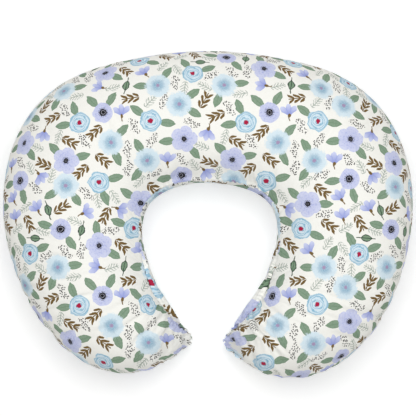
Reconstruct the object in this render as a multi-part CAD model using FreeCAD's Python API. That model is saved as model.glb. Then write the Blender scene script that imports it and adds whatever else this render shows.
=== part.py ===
"""Nursing pillow: a stuffed C-shaped pillow in a printed slipcover that closes with a coil zip.

Units are millimetres. +Z is up and the pillow lies flat on Z = 0. The arms open towards -Y and the
back of the C is at +Y. The origin is on the floor under the middle of the pillow.

The soft layers are nested shells of one shape, the body, each set in from the outside by its own
inset. The zip lies in the cover's outer seam along the back, on a true circular arc, so that its
slider can run round that arc's centre.
"""

import FreeCAD, Part

import math
import os

Vector = FreeCAD.Vector

# --- Overall sizes -------------------------------------------------------------------------------
OVERALL_WIDTH = 508.0
OVERALL_DEPTH = 406.0
HEIGHT = 140.0

# --- Plan shape of the C -------------------------------------------------------------------------
BACK_TUBE_WIDTH = 164.0  # width of the stuffed tube at the middle of the back
BACK_ARC_RADIUS = 455.0  # the back edge is this arc for as long as the zip needs
BACK_ARC_HALF_ANGLE = 19.0
WIDEST_Y = 15.0  # where the outer edge is widest
HOLLOW_WIDTH = 170.0  # the waist hollow, at its widest
HOLLOW_WIDEST_Y = -18.0
ARM_END_X = 100.0  # where an arm reaches the front edge, from the centre line
TIP_GAP = 37.0  # free space between the two arm tips
TIP_FROM_FRONT = 47.0  # how far the tips stand back from the front edge
TIP_BLUNT = 5.0  # the tips are cut off square this far along the spine

# How far each outline curve runs straight on from its start and into its end.
SHOULDER_PULLS = (58.0, 92.0)
SIDE_PULLS = (105.0, 92.0)
TOE_PULLS = (30.0, 30.0)
HOLLOW_BACK_PULLS = (58.0, 40.0)
HOLLOW_SIDE_PULLS = (50.0, 40.0)
TOE_END_DIRECTION = (-0.55, 0.83)
HOLLOW_END_DIRECTION = (-0.66, -0.75)

# --- Section of the tube -------------------------------------------------------------------------
FLOOR_SINK = 4.0  # how much of the round underside is pressed flat
SECTION_FULLNESS = 0.60  # 0.552 is an ellipse, more is squarer
ARM_TAPER_POWER = 1.7  # how quickly the height falls off towards an arm's tip
TIP_LIFT = 30.0  # how far the tapered tips would lift off the floor
BACK_SEAM_DROP = 0.28  # the cover's seam below mid height along the back, as a share of half height
ARM_SEAM_RISE = 0.10  # and above it round the arm ends
HOLLOW_SEAM_RISE = 0.40  # and above it round the hollow
SEAM_RISE_FROM = 0.02  # where the outer seam starts to rise, past the zip, as a share of the outline
SEAM_RISE_TO = 0.45
HOLLOW_SEAM_FALL_FROM = 0.70  # where the hollow's seam starts to come down to the tip
STATIONS_PER_ARM = 20  # upright sections that each arm is lofted through
STATION_CROWDING = 1.35  # above 1 crowds them towards the tip

# --- Soft layers: inset of each one's outside from the cover's outside, and its thickness ---------
COVER_CLOTH = 0.8
LAYER_GAP = 0.25
OVERLOCK_CLOTH = 0.5  # the overlocked edges inside each seam
LABEL_CLOTH = 0.4
CASING_CLOTH = 0.6
TAPE_CLOTH = 0.6
LABEL_INSET = COVER_CLOTH + LAYER_GAP + TAPE_CLOTH + LAYER_GAP
CASING_INSET = LABEL_INSET + LABEL_CLOTH + LAYER_GAP
FILL_INSET = CASING_INSET + CASING_CLOTH + LAYER_GAP + OVERLOCK_CLOTH + LAYER_GAP
OVERLOCK_WIDTH = 7.0
OVERLOCK_BELOW_SEAM = 1.0
CARE_LABEL = (32.0, 45.0)
CASING_LABEL = (40.0, 28.0)
LABEL_BELOW_SEAM = 2.0

# --- Zip: 5 mm nylon coil ------------------------------------------------------------------------
ZIP_LENGTH = 290.0  # from stop to stop, along the arc
TAPE_WIDTH = 15.0  # each tape
TAPE_TAIL = 5.0  # tape past each stop
SLOT_WIDTH = 10.0  # between the folded edges of the cover
SLOT_PAST_STOP = 1.5
COIL_WIDTH = 2.2  # each coil
COIL_GAP = 1.6  # between the two coils, where the slider's post runs
COIL_HEIGHT = 2.4
COIL_ROUNDING = 0.65
COIL_LIFT = 0.4  # the sewn foot under each coil
ZIP_MARGIN = 2.0  # kept free of other cloth round the zip
STOP_LENGTH = 3.0
STOP_GAP = 0.2  # between each stop and the coils' ends
ZIP_ROW_OFFSET = 8.0  # from the chain's middle to each row of stitches
STITCH_PITCH = 3.2
STITCH_LENGTH = 2.3
STITCH_WIDTH = 0.5
STITCH_HOVER = 0.35
CLOSING_STITCHES = 24
CLOSING_PITCH = 5.0

# --- Slider and pull -----------------------------------------------------------------------------
RUNNING_GAP = 0.35
CLOTH_GAP = 0.7  # between the lower plate and the tapes
SLIDER_LENGTH = 12.0
SLIDER_WALL = 0.9
SLIDER_CORNER = 2.4
FLANGE_LENGTH = 7.0
POST_LENGTH = 3.0
BAIL_LENGTH = 7.2
BAIL_WIDTH = 2.2
BAIL_BAR = 1.0
PIN_RADIUS = 0.8
PIN_PLAY = 0.32
PULL_LENGTH = 27.0
PULL_THICKNESS = 1.2
PULL_WIDTH = 7.0
PULL_ARM_WIDTH = 1.4
PULL_CORNER = 2.7
PULL_HOLE_RADIUS = 1.8
PULL_HOLE_FROM_END = 4.2

# --- Values worked out from the sizes above ------------------------------------------------------
HALF_WIDTH = OVERALL_WIDTH / 2
HALF_DEPTH = OVERALL_DEPTH / 2
HALF_TUBE = BACK_TUBE_WIDTH / 2
HALF_HEIGHT = (HEIGHT + FLOOR_SINK) / 2
ARC_CENTRE_Y = HALF_DEPTH - BACK_ARC_RADIUS
TIP = (TIP_GAP / 2, -HALF_DEPTH + TIP_FROM_FRONT)
SEAM_MARGIN = 12.0  # the seam-cutting surface passes the cloth by this much


# --- Plan outlines -------------------------------------------------------------------------------
def bezier(start, start_direction, end, end_direction, pulls, steps=80):
    """Points of a cubic that leaves start and arrives at end in the given directions."""
    sizes = [pulls[0] / math.hypot(*start_direction), -pulls[1] / math.hypot(*end_direction)]
    leave = [start[k] + start_direction[k] * sizes[0] for k in (0, 1)]
    arrive = [end[k] + end_direction[k] * sizes[1] for k in (0, 1)]
    poles = (start, leave, arrive, end)
    points = []
    for i in range(steps + 1):
        t = i / steps
        weights = ((1 - t) ** 3, 3 * (1 - t) ** 2 * t, 3 * (1 - t) * t * t, t**3)
        points.append(tuple(sum(w * p[k] for w, p in zip(weights, poles)) for k in (0, 1)))
    return points


def outer_outline():
    """The right half of the outer edge, from the middle of the back to the arm's tip."""
    steps = 40
    back = []
    for i in range(steps + 1):
        angle = math.radians(BACK_ARC_HALF_ANGLE) * i / steps
        back.append(
            (BACK_ARC_RADIUS * math.sin(angle), ARC_CENTRE_Y + BACK_ARC_RADIUS * math.cos(angle))
        )
    heading = (math.cos(angle), -math.sin(angle))
    widest = (HALF_WIDTH, WIDEST_Y)
    arm_end = (ARM_END_X, -HALF_DEPTH)
    shoulder = bezier(back[-1], heading, widest, (0, -1), SHOULDER_PULLS)
    side = bezier(widest, (0, -1), arm_end, (-1, 0), SIDE_PULLS)
    toe = bezier(arm_end, (-1, 0), TIP, TOE_END_DIRECTION, TOE_PULLS)
    return back + shoulder[1:] + side[1:] + toe[1:]


def inner_outline():
    """The right half of the hollow's edge, from the middle of the back to the arm's tip."""
    start = (0.0, HALF_DEPTH - BACK_TUBE_WIDTH)
    widest = (HOLLOW_WIDTH / 2, HOLLOW_WIDEST_Y)
    corner = bezier(start, (1, 0), widest, (0, -1), HOLLOW_BACK_PULLS)
    side = bezier(widest, (0, -1), TIP, HOLLOW_END_DIRECTION, HOLLOW_SIDE_PULLS)
    return corner + side[1:]


def run_lengths(points):
    lengths = [0.0]
    for a, b in zip(points, points[1:]):
        lengths.append(lengths[-1] + math.dist(a, b))
    return lengths


def at_share(points, lengths, share):
    """The point at this share of an outline's length."""
    wanted = share * lengths[-1]
    low, high = 0, len(points) - 1
    while high - low > 1:
        middle = (low + high) // 2
        low, high = (middle, high) if lengths[middle] <= wanted else (low, middle)
    t = (wanted - lengths[low]) / (lengths[high] - lengths[low])
    return tuple(points[low][k] + (points[high][k] - points[low][k]) * t for k in (0, 1))


OUTER = outer_outline()
INNER = inner_outline()
OUTER_LENGTHS = run_lengths(OUTER)
INNER_LENGTHS = run_lengths(INNER)


def smooth_step(x, low, high):
    t = min(1.0, max(0.0, (x - low) / (high - low)))
    return t * t * (3 - 2 * t)


def quarter(t):
    """Reach and rise on a quarter of the section of unit size, from the side (0) to the top (1)."""
    side = (1 - t) ** 3 + 3 * (1 - t) ** 2 * t
    top = 3 * (1 - t) * t * t + t**3
    reach = side + 3 * (1 - t) * t * t * SECTION_FULLNESS
    rise = top + 3 * (1 - t) ** 2 * t * SECTION_FULLNESS
    return reach, rise


def quarter_at_rise(rise):
    low, high = 0.0, 1.0
    for _ in range(50):
        middle = (low + high) / 2
        low, high = (middle, high) if quarter(middle)[1] <= rise else (low, middle)
    return low


class Station:
    """One upright section of the tube. share runs from 0 at the back to 1 at the tip; side is +1 or -1."""

    def __init__(self, share, side):
        outer = at_share(OUTER, OUTER_LENGTHS, share)
        inner = at_share(INNER, INNER_LENGTHS, share)
        self.middle = ((outer[0] + inner[0]) / 2 * side, (outer[1] + inner[1]) / 2)
        self.half_width = math.dist(outer, inner) / 2
        across = (outer[0] - inner[0], outer[1] - inner[1])
        self.outward = (
            across[0] / (2 * self.half_width) * side,
            across[1] / (2 * self.half_width),
        )
        thin = max(0.0, 1 - self.half_width / HALF_TUBE)
        self.half_height = HALF_HEIGHT * (1 - thin**ARM_TAPER_POWER)
        lift = TIP_LIFT * (1 - self.half_height / HALF_HEIGHT)
        self.centre_z = self.half_height - FLOOR_SINK + lift
        arc_end = math.radians(BACK_ARC_HALF_ANGLE) * BACK_ARC_RADIUS / OUTER_LENGTHS[-1]
        along_arm = smooth_step(share, arc_end + SEAM_RISE_FROM, arc_end + SEAM_RISE_TO)
        outer_rise = -BACK_SEAM_DROP + (ARM_SEAM_RISE + BACK_SEAM_DROP) * along_arm
        near_tip = smooth_step(share, HOLLOW_SEAM_FALL_FROM, 1)
        inner_rise = HOLLOW_SEAM_RISE + (ARM_SEAM_RISE - HOLLOW_SEAM_RISE) * near_tip
        self.outer_seam_z = self.centre_z + outer_rise * self.half_height
        self.inner_seam_z = self.centre_z + inner_rise * self.half_height

    def point(self, across, z):
        return Vector(
            self.middle[0] + self.outward[0] * across, self.middle[1] + self.outward[1] * across, z
        )

    def reach(self, z, inset):
        """How far the outside of a layer reaches from the spine at height z."""
        rise = min(1.0, abs(z - self.centre_z) / (self.half_height - inset))
        return (self.half_width - inset) * quarter(quarter_at_rise(rise))[0]

    def wire(self, inset):
        a, b = self.half_width - inset, self.half_height - inset
        corners = [(a, 0), (0, b), (-a, 0), (0, -b)]
        edges = []
        for (x0, z0), (x1, z1) in zip(corners, corners[1:] + corners[:1]):
            leave = (x0 + x1 * SECTION_FULLNESS, z0 + z1 * SECTION_FULLNESS)
            arrive = (x1 + x0 * SECTION_FULLNESS, z1 + z0 * SECTION_FULLNESS)
            curve = Part.BezierCurve()
            poles = [(x0, z0), leave, arrive, (x1, z1)]
            curve.setPoles([self.point(x, self.centre_z + z) for x, z in poles])
            edges.append(curve.toShape())
        return Part.Wire(edges)


def spine_shares():
    """Pairs of (distance from the tip along the spine, share), from the tip to the middle of the back."""
    steps = 400
    middles = []
    for i in range(steps + 1):
        share = 1 - i / steps
        outer = at_share(OUTER, OUTER_LENGTHS, share)
        inner = at_share(INNER, INNER_LENGTHS, share)
        middles.append((share, ((outer[0] + inner[0]) / 2, (outer[1] + inner[1]) / 2)))
    distance, table = 0.0, [(0.0, 1.0)]
    for (_, a), (share, b) in zip(middles, middles[1:]):
        distance += math.dist(a, b)
        table.append((distance, share))
    return table


SPINE = spine_shares()
HALF_SPINE = SPINE[-1][0]


def share_from_tip(distance):
    for (d0, s0), (d1, s1) in zip(SPINE, SPINE[1:]):
        if d1 >= distance:
            return s0 + (s1 - s0) * (distance - d0) / (d1 - d0)
    return 0.0


def stations(inset):
    """Sections from the left tip round to the right one, closer together near the tips."""
    start = TIP_BLUNT + inset
    half = []
    for i in range(STATIONS_PER_ARM):
        crowded = (i / STATIONS_PER_ARM) ** STATION_CROWDING
        distance = start + (HALF_SPINE - start) * crowded
        half.append(share_from_tip(distance))
    return (
        [Station(share, -1) for share in half]
        + [Station(0.0, 1)]
        + [Station(share, 1) for share in reversed(half)]
    )


# --- Solids --------------------------------------------------------------------------------------
def body(inset):
    """Everything inside the layer whose outside is set in by inset, flat on the floor."""
    loft = Part.makeLoft([s.wire(inset) for s in stations(inset)], True, False, False, 5)
    above = Part.makeBox(2 * OVERALL_WIDTH, 2 * OVERALL_DEPTH, 2 * HEIGHT)
    above.translate(Vector(-OVERALL_WIDTH, -OVERALL_DEPTH, inset))
    return loft.common(above)


def shell(inset, thickness):
    return body(inset).cut(body(inset + thickness))


def seam_face():
    """A ribbon through both seams, a little wider than the tube and a little past its tips."""
    rows = []
    for edge_sign in (1, -1):
        points = []
        for station in stations(0):
            z = station.outer_seam_z if edge_sign > 0 else station.inner_seam_z
            points.append(station.point(edge_sign * (station.half_width + SEAM_MARGIN), z))
        for end, beside in ((0, 1), (-1, -2)):
            onward = points[end] - points[beside]
            onward.z = 0
            onward.normalize()
            far = points[end] + onward * SEAM_MARGIN
            points = [far] + points if end == 0 else points + [far]
        curve = Part.BSplineCurve()
        curve.interpolate(points)
        rows.append(curve.toShape())
    return Part.makeRuledSurface(*rows)


def seam_block(face, top, bottom):
    """The space from top to bottom, both measured up from the seam."""
    moved = face.copy()
    moved.translate(Vector(0, 0, top))
    return moved.extrude(Vector(0, 0, bottom - top))


# --- Zip frame: up is along the cloth and across the chain, out is away from the pillow -----------
MID_BACK = Station(0.0, 1)
ZIP_Z = MID_BACK.outer_seam_z
ZIP_RADIUS = BACK_ARC_RADIUS - MID_BACK.half_width + MID_BACK.reach(ZIP_Z, 0)


def zip_tilt():
    """How far the cloth faces down at the zip, in radians."""
    t = quarter_at_rise(abs(ZIP_Z - MID_BACK.centre_z) / MID_BACK.half_height)
    step = 1e-4
    (x0, z0), (x1, z1) = quarter(t - step), quarter(t + step)
    return math.atan2((x0 - x1) * MID_BACK.half_width, (z1 - z0) * MID_BACK.half_height)


ZIP_TILT = zip_tilt()
AXIS_START = Vector(0, ARC_CENTRE_Y, 0)
ZIP_HALF_ANGLE = math.degrees(ZIP_LENGTH / 2 / ZIP_RADIUS)
TAPE_OUT = -(COVER_CLOTH + LAYER_GAP)  # outer face of the tapes
COIL_FOOT = TAPE_OUT + COIL_LIFT
COIL_OUT = COIL_FOOT + COIL_HEIGHT  # outer face of the coils


def angle_of(length):
    """Degrees round the zip's arc for a length along it."""
    return math.degrees(length / ZIP_RADIUS)


def zip_profile_point(up, out):
    """A point of the zip's profile in the plane X = 0."""
    radius = ZIP_RADIUS + out * math.cos(ZIP_TILT) + up * math.sin(ZIP_TILT)
    return Vector(0, ARC_CENTRE_Y + radius, ZIP_Z - out * math.sin(ZIP_TILT) + up * math.cos(ZIP_TILT))


def along_zip(up_low, up_high, out_low, out_high, angle_low, angle_high):
    """A strip with a rectangular profile that follows the zip's arc. Positive angles go to +X."""
    corners = [(up_low, out_low), (up_high, out_low), (up_high, out_high), (up_low, out_high)]
    points = [zip_profile_point(*c) for c in corners]
    face = Part.Face(Part.makePolygon(points + points[:1]))
    face.rotate(AXIS_START, Vector(0, 0, 1), -angle_low)
    return face.revolve(AXIS_START, Vector(0, 0, 1), -(angle_high - angle_low))


def place_on_zip(shape, angle):
    """Moves a shape made at the origin, X along the chain, Y down and Z out, to its place."""
    c, s = math.cos(ZIP_TILT), math.sin(ZIP_TILT)
    place = zip_profile_point(0, 0)
    matrix = FreeCAD.Matrix(
        1, 0, 0, place.x,
        0, -s, c, place.y,
        0, -c, -s, place.z,
        0, 0, 0, 1,
    )
    moved = shape.transformGeometry(matrix)
    moved.rotate(AXIS_START, Vector(0, 0, 1), -angle)
    return moved


def centred_box(length, width, out_low, out_high, x=0.0, y=0.0):
    box = Part.makeBox(length, width, out_high - out_low)
    box.translate(Vector(x - length / 2, y - width / 2, out_low))
    return box


def round_upright_edges(solid, radius):
    edges = [e for e in solid.Edges if abs(abs(e.tangentAt(e.FirstParameter).z) - 1) < 1e-6]
    return solid.makeFillet(radius, edges)


# --- Zip pieces ----------------------------------------------------------------------------------
CHAIN_HALF = COIL_GAP / 2 + COIL_WIDTH


def zip_slot():
    reach = 4 * COVER_CLOTH
    half = ZIP_HALF_ANGLE + angle_of(STOP_LENGTH + SLOT_PAST_STOP)
    return along_zip(-SLOT_WIDTH / 2, SLOT_WIDTH / 2, -reach, reach, -half, half)


def zip_region():
    """All of the cloth beside the zip: the tapes with their tails, and a little more."""
    half = ZIP_HALF_ANGLE + angle_of(STOP_LENGTH + TAPE_TAIL + ZIP_MARGIN)
    wide = TAPE_WIDTH + ZIP_MARGIN
    return along_zip(-wide, wide, -TAPE_WIDTH, TAPE_WIDTH, -half, half)


def zip_tape(side):
    """Cut from a layer just inside the cover, so that it follows the cloth."""
    half = ZIP_HALF_ANGLE + angle_of(STOP_LENGTH + TAPE_TAIL)
    low, high = sorted((side * COIL_GAP / 2, side * TAPE_WIDTH))
    strip = along_zip(low, high, -TAPE_WIDTH, TAPE_WIDTH, -half, half)
    return shell(COVER_CLOTH + LAYER_GAP, TAPE_CLOTH).common(strip)


def zip_coil(side):
    low, high = sorted((side * COIL_GAP / 2, side * CHAIN_HALF))
    coil = along_zip(low, high, COIL_FOOT, COIL_OUT, -ZIP_HALF_ANGLE, ZIP_HALF_ANGLE)
    long_edges = [e for e in coil.Edges if e.Length > ZIP_LENGTH / 2]
    return coil.makeFillet(COIL_ROUNDING, long_edges)


def top_stops():
    """A crimped stop on each coil, at the closed end."""
    start = ZIP_HALF_ANGLE + angle_of(STOP_GAP)
    end = ZIP_HALF_ANGLE + angle_of(STOP_LENGTH - STOP_GAP)
    stops = []
    for side in (1, -1):
        low, high = sorted((side * COIL_GAP / 2, side * CHAIN_HALF))
        stops.append(along_zip(low, high, COIL_FOOT, COIL_OUT, start, end))
    return Part.makeCompound(stops)


def bottom_stop():
    """One staple across both coils, at the open end."""
    start = -ZIP_HALF_ANGLE - angle_of(STOP_LENGTH - STOP_GAP)
    end = -ZIP_HALF_ANGLE - angle_of(STOP_GAP)
    return along_zip(-CHAIN_HALF, CHAIN_HALF, COIL_FOOT, COIL_OUT, start, end)


def stitch(point, along, out, height):
    """One stitch: a short bar that lies along the seam."""
    up = out.cross(along)
    bar = Part.makeBox(STITCH_LENGTH, STITCH_WIDTH, height)
    bar.translate(Vector(-STITCH_LENGTH / 2, -STITCH_WIDTH / 2, 0))
    matrix = FreeCAD.Matrix(
        along.x, up.x, out.x, point.x,
        along.y, up.y, out.y, point.y,
        along.z, up.z, out.z, point.z,
        0, 0, 0, 1,
    )
    return bar.transformGeometry(matrix)


def zip_stitching(side):
    """The row of lockstitches that holds one tape to the cover."""
    z = ZIP_Z + side * ZIP_ROW_OFFSET * math.cos(ZIP_TILT)
    half = ZIP_LENGTH / 2 + STOP_LENGTH
    count = int(2 * half / STITCH_PITCH)
    row = []
    for i in range(count):
        angle = math.radians(angle_of(-half + (i + 0.5) * 2 * half / count))
        back = Station(abs(angle) * BACK_ARC_RADIUS / OUTER_LENGTHS[-1], 1 if angle > 0 else -1)
        lean = back.reach(z - 0.5, 0) - back.reach(z + 0.5, 0)
        out = Vector(*back.outward, lean).normalize()
        foot = back.point(back.reach(z, 0), z) + out * STITCH_HOVER
        along = Vector(back.outward[1], -back.outward[0], 0)
        row.append(stitch(foot, along, out, STITCH_WIDTH))
    return Part.makeCompound(row)


# --- Slider: X along the chain towards the closed end, Y down, Z out -----------------------------
CHANNEL_HALF = CHAIN_HALF + RUNNING_GAP
PLATE_WIDTH = 2 * (CHANNEL_HALF + SLIDER_WALL)
TOP_PLATE = COIL_OUT + RUNNING_GAP
TOP_OF_PLATE = TOP_PLATE + SLIDER_WALL
LOW_PLATE = TAPE_OUT - TAPE_CLOTH - CLOTH_GAP
PIN_OUT = TOP_OF_PLATE + PIN_PLAY + PIN_RADIUS
BAIL_UNDER = PIN_OUT + PIN_RADIUS + PIN_PLAY
SLIDER_ANGLE = ZIP_HALF_ANGLE - angle_of(SLIDER_LENGTH / 2 - STOP_LENGTH)
SLIDER_BOTTOM = LOW_PLATE - SLIDER_WALL


def zip_slider():
    """Two plates joined by a post between the coils, side flanges and the bail over the top."""
    upper = centred_box(SLIDER_LENGTH, PLATE_WIDTH, TOP_PLATE, TOP_OF_PLATE)
    lower = centred_box(SLIDER_LENGTH, PLATE_WIDTH, SLIDER_BOTTOM, LOW_PLATE)
    upper = round_upright_edges(upper, SLIDER_CORNER)
    solid = upper.fuse(round_upright_edges(lower, SLIDER_CORNER))
    for side in (1, -1):
        y = side * (CHANNEL_HALF + SLIDER_WALL / 2)
        low = TAPE_OUT + RUNNING_GAP
        solid = solid.fuse(centred_box(FLANGE_LENGTH, SLIDER_WALL, low, TOP_OF_PLATE, y=y))
    post_x = SLIDER_LENGTH / 2 - POST_LENGTH / 2
    post_width = COIL_GAP - 2 * RUNNING_GAP
    post = centred_box(POST_LENGTH, post_width, SLIDER_BOTTOM, TOP_OF_PLATE, x=post_x)
    solid = solid.fuse(post)
    bail = centred_box(BAIL_LENGTH, BAIL_WIDTH, TOP_PLATE, BAIL_UNDER + BAIL_BAR)
    eye = centred_box(BAIL_LENGTH - 2 * BAIL_BAR, 2 * BAIL_WIDTH, TOP_OF_PLATE, BAIL_UNDER)
    return solid.fuse(bail.cut(eye)).removeSplitter()


def zip_pull():
    """A flat tab whose pin turns in the bail. It lies back over the closed chain."""
    clear = math.hypot(BAIL_LENGTH / 2, BAIL_UNDER + BAIL_BAR - PIN_OUT) + RUNNING_GAP
    arms_half = BAIL_WIDTH / 2 + RUNNING_GAP + PULL_ARM_WIDTH
    low, high = PIN_OUT - PULL_THICKNESS / 2, PIN_OUT + PULL_THICKNESS / 2
    pin = Part.makeCylinder(PIN_RADIUS, 2 * arms_half, Vector(0, -arms_half, PIN_OUT), Vector(0, 1, 0))
    tab_length = PULL_LENGTH - clear
    tab = centred_box(tab_length, PULL_WIDTH, low, high, x=-clear - tab_length / 2)
    tab = round_upright_edges(tab, PULL_CORNER)
    hole_at = Vector(PULL_HOLE_FROM_END - PULL_LENGTH, 0, low)
    hole = Part.makeCylinder(PULL_HOLE_RADIUS, PULL_THICKNESS, hole_at)
    solid = tab.cut(hole).fuse(pin)
    arm_length = clear + PULL_CORNER
    for side in (1, -1):
        y = side * (arms_half - PULL_ARM_WIDTH / 2)
        solid = solid.fuse(centred_box(arm_length, PULL_ARM_WIDTH, low, high, x=-arm_length / 2, y=y))
    return solid.removeSplitter()


# --- Sewn pieces of the soft layers --------------------------------------------------------------
def label(inset, size, side):
    """A cloth label that hangs inside a seam, half way along one side of the hollow."""
    width, drop = size
    seam_z = Station(0.0, 1).inner_seam_z
    block = Part.makeBox(HALF_TUBE, width, drop)
    x = side * (HOLLOW_WIDTH + HALF_TUBE) / 2 - HALF_TUBE / 2
    block.translate(Vector(x, HOLLOW_WIDEST_Y - width / 2, seam_z - LABEL_BELOW_SEAM - drop))
    return shell(inset, LABEL_CLOTH).common(block)


def seam_overlock(inset, face, keep_off):
    """The overlocked edges of both panels, turned down inside a seam."""
    band = seam_block(face, -OVERLOCK_BELOW_SEAM, -OVERLOCK_BELOW_SEAM - OVERLOCK_WIDTH)
    return shell(inset, OVERLOCK_CLOTH).common(band).cut(keep_off)


def closing_stitches():
    """Hand stitches that close the stuffing opening, on the casing's seam at the right side."""
    inset = CASING_INSET - LAYER_GAP
    first = (HALF_SPINE - CLOSING_STITCHES * CLOSING_PITCH) / 2
    row = []
    for i in range(CLOSING_STITCHES):
        here, ahead = [
            Station(share_from_tip(first + i * CLOSING_PITCH + step), 1) for step in (0, 1)
        ]
        start, end = [s.point(s.reach(s.outer_seam_z, inset), s.outer_seam_z) for s in (here, ahead)]
        along = Vector(end.x - start.x, end.y - start.y, 0).normalize()
        row.append(stitch(start, along, Vector(along.y, -along.x, 0), LABEL_CLOTH))
    return Part.makeCompound(row)


def dent(extra):
    """The hollow that the back of the zip presses into the pillow, grown by extra."""
    half = ZIP_HALF_ANGLE + angle_of(STOP_LENGTH + ZIP_MARGIN + extra)
    wide = PLATE_WIDTH / 2 + ZIP_MARGIN + extra
    return along_zip(-wide, wide, SLIDER_BOTTOM - CLOTH_GAP - extra, TAPE_WIDTH, -half, half)


def casing_layer():
    outside = body(CASING_INSET).cut(dent(0))
    inside = body(CASING_INSET + CASING_CLOTH).cut(dent(CASING_CLOTH))
    return outside.cut(inside)


def main():
    os.makedirs("parts", exist_ok=True)
    face = seam_face()
    below = seam_block(face, 0, -HEIGHT)
    slot = zip_slot()
    cover = shell(0, COVER_CLOTH)
    casing = casing_layer()
    fill_dent = dent(FILL_INSET - CASING_INSET)
    inside_cover = COVER_CLOTH + LAYER_GAP
    inside_casing = CASING_INSET + CASING_CLOTH + LAYER_GAP
    parts = {
        "cover_top_panel": cover.cut(below).cut(slot),
        "cover_bottom_panel": cover.common(below).cut(slot),
        "cover_seam_overlock": seam_overlock(inside_cover, face, zip_region()),
        "cover_care_label": label(LABEL_INSET, CARE_LABEL, -1),
        "zip_tape_upper": zip_tape(1),
        "zip_tape_lower": zip_tape(-1),
        "zip_coil_upper": zip_coil(1),
        "zip_coil_lower": zip_coil(-1),
        "zip_top_stops": top_stops(),
        "zip_bottom_stop": bottom_stop(),
        "zip_stitching_upper": zip_stitching(1),
        "zip_stitching_lower": zip_stitching(-1),
        "zip_slider": place_on_zip(zip_slider(), SLIDER_ANGLE),
        "zip_pull": place_on_zip(zip_pull(), SLIDER_ANGLE),
        "casing_top_panel": casing.cut(below),
        "casing_bottom_panel": casing.common(below),
        "casing_seam_overlock": seam_overlock(inside_casing, face, dent(2 * ZIP_MARGIN)),
        "casing_closing_stitches": closing_stitches(),
        "casing_label": label(LABEL_INSET, CASING_LABEL, 1),
        "fibre_fill": body(FILL_INSET).cut(fill_dent),
    }
    for name, shape in parts.items():
        shape.exportStep(f"parts/{name}.step")


main()
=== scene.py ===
"""Nursing pillow: the looks of its cloth, stuffing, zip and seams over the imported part."""

import math

import bpy
import numpy as np
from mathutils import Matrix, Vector


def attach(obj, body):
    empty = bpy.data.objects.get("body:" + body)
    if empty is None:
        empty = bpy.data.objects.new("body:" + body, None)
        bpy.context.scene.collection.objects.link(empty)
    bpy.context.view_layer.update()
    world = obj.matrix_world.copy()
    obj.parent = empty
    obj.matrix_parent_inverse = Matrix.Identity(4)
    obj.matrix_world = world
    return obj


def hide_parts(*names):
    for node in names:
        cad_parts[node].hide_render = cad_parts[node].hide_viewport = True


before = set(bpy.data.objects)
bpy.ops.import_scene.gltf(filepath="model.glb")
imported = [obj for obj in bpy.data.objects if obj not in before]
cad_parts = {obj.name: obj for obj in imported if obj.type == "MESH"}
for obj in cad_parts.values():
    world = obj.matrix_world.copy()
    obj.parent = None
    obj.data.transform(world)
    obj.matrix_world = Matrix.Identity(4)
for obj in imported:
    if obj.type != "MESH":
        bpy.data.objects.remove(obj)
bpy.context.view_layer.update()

# --- fibre_fill ---
# Loose siliconised polyester fibre, blown into the casing until it is firm. It takes the casing's
# C shape: a tube between an outer and an inner outline, pressed flat where it lies on the floor.
MM = 0.001
HALF_DEPTH = 0.203
BACK_TUBE = 0.164
BACK_ARC_RADIUS = 0.455
BACK_ARC_HALF_ANGLE = math.radians(19)
HALF_HEIGHT = 0.072
FLOOR_SINK = 0.004
SECTION_FULLNESS = 0.60
TIP_ROUNDING = 1.7
TIP_LIFT = 0.030
# How high the seams run, as shares of the half height: at the back, and their change to the tips.
OUTER_SEAM_AT_BACK, OUTER_SEAM_CLIMB = -0.28, 0.38
INNER_SEAM_AT_BACK, INNER_SEAM_FALL = 0.40, 0.30
# The stuffing is not quite even, so each arm has its own widest point, end, tip and hollow.
ARMS = {
    -1: {
        "widest": (0.2525, 0.015),
        "end": (0.100, -0.1955),
        "tip": (0.0190, -0.1545),
        "hollow": (0.0795, -0.020),
        "side_pulls": (0.104, 0.083),
    },
    1: {
        "widest": (0.2535, 0.015),
        "end": (0.100, -0.2020),
        "tip": (0.0190, -0.1570),
        "hollow": (0.0855, -0.018),
        "side_pulls": (0.105, 0.092),
    },
}


def cubic(start, start_way, end, end_way, pulls, steps=120):
    """Points of a curve that leaves start and reaches end along the given directions."""
    start, end = np.array(start), np.array(end)
    leave = start + np.array(start_way) / np.hypot(*start_way) * pulls[0]
    arrive = end - np.array(end_way) / np.hypot(*end_way) * pulls[1]
    t = np.linspace(0, 1, steps + 1)[:, None]
    return (
        (1 - t) ** 3 * start
        + 3 * (1 - t) ** 2 * t * leave
        + 3 * (1 - t) * t**2 * arrive
        + t**3 * end
    )


def running(steps):
    """How far along a line each of its points lies, from the steps between them."""
    return np.concatenate([[0], np.cumsum(steps)])


def points_at(distances, run, line):
    """The points of a line at these distances along it."""
    return np.stack([np.interp(distances, run, column) for column in line.T], axis=1)


def resample(points, count):
    """The same line as count points at equal distances."""
    run = running(np.hypot(*np.diff(points, axis=0).T))
    return points_at(np.linspace(0, run[-1], count), run, points)


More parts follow.
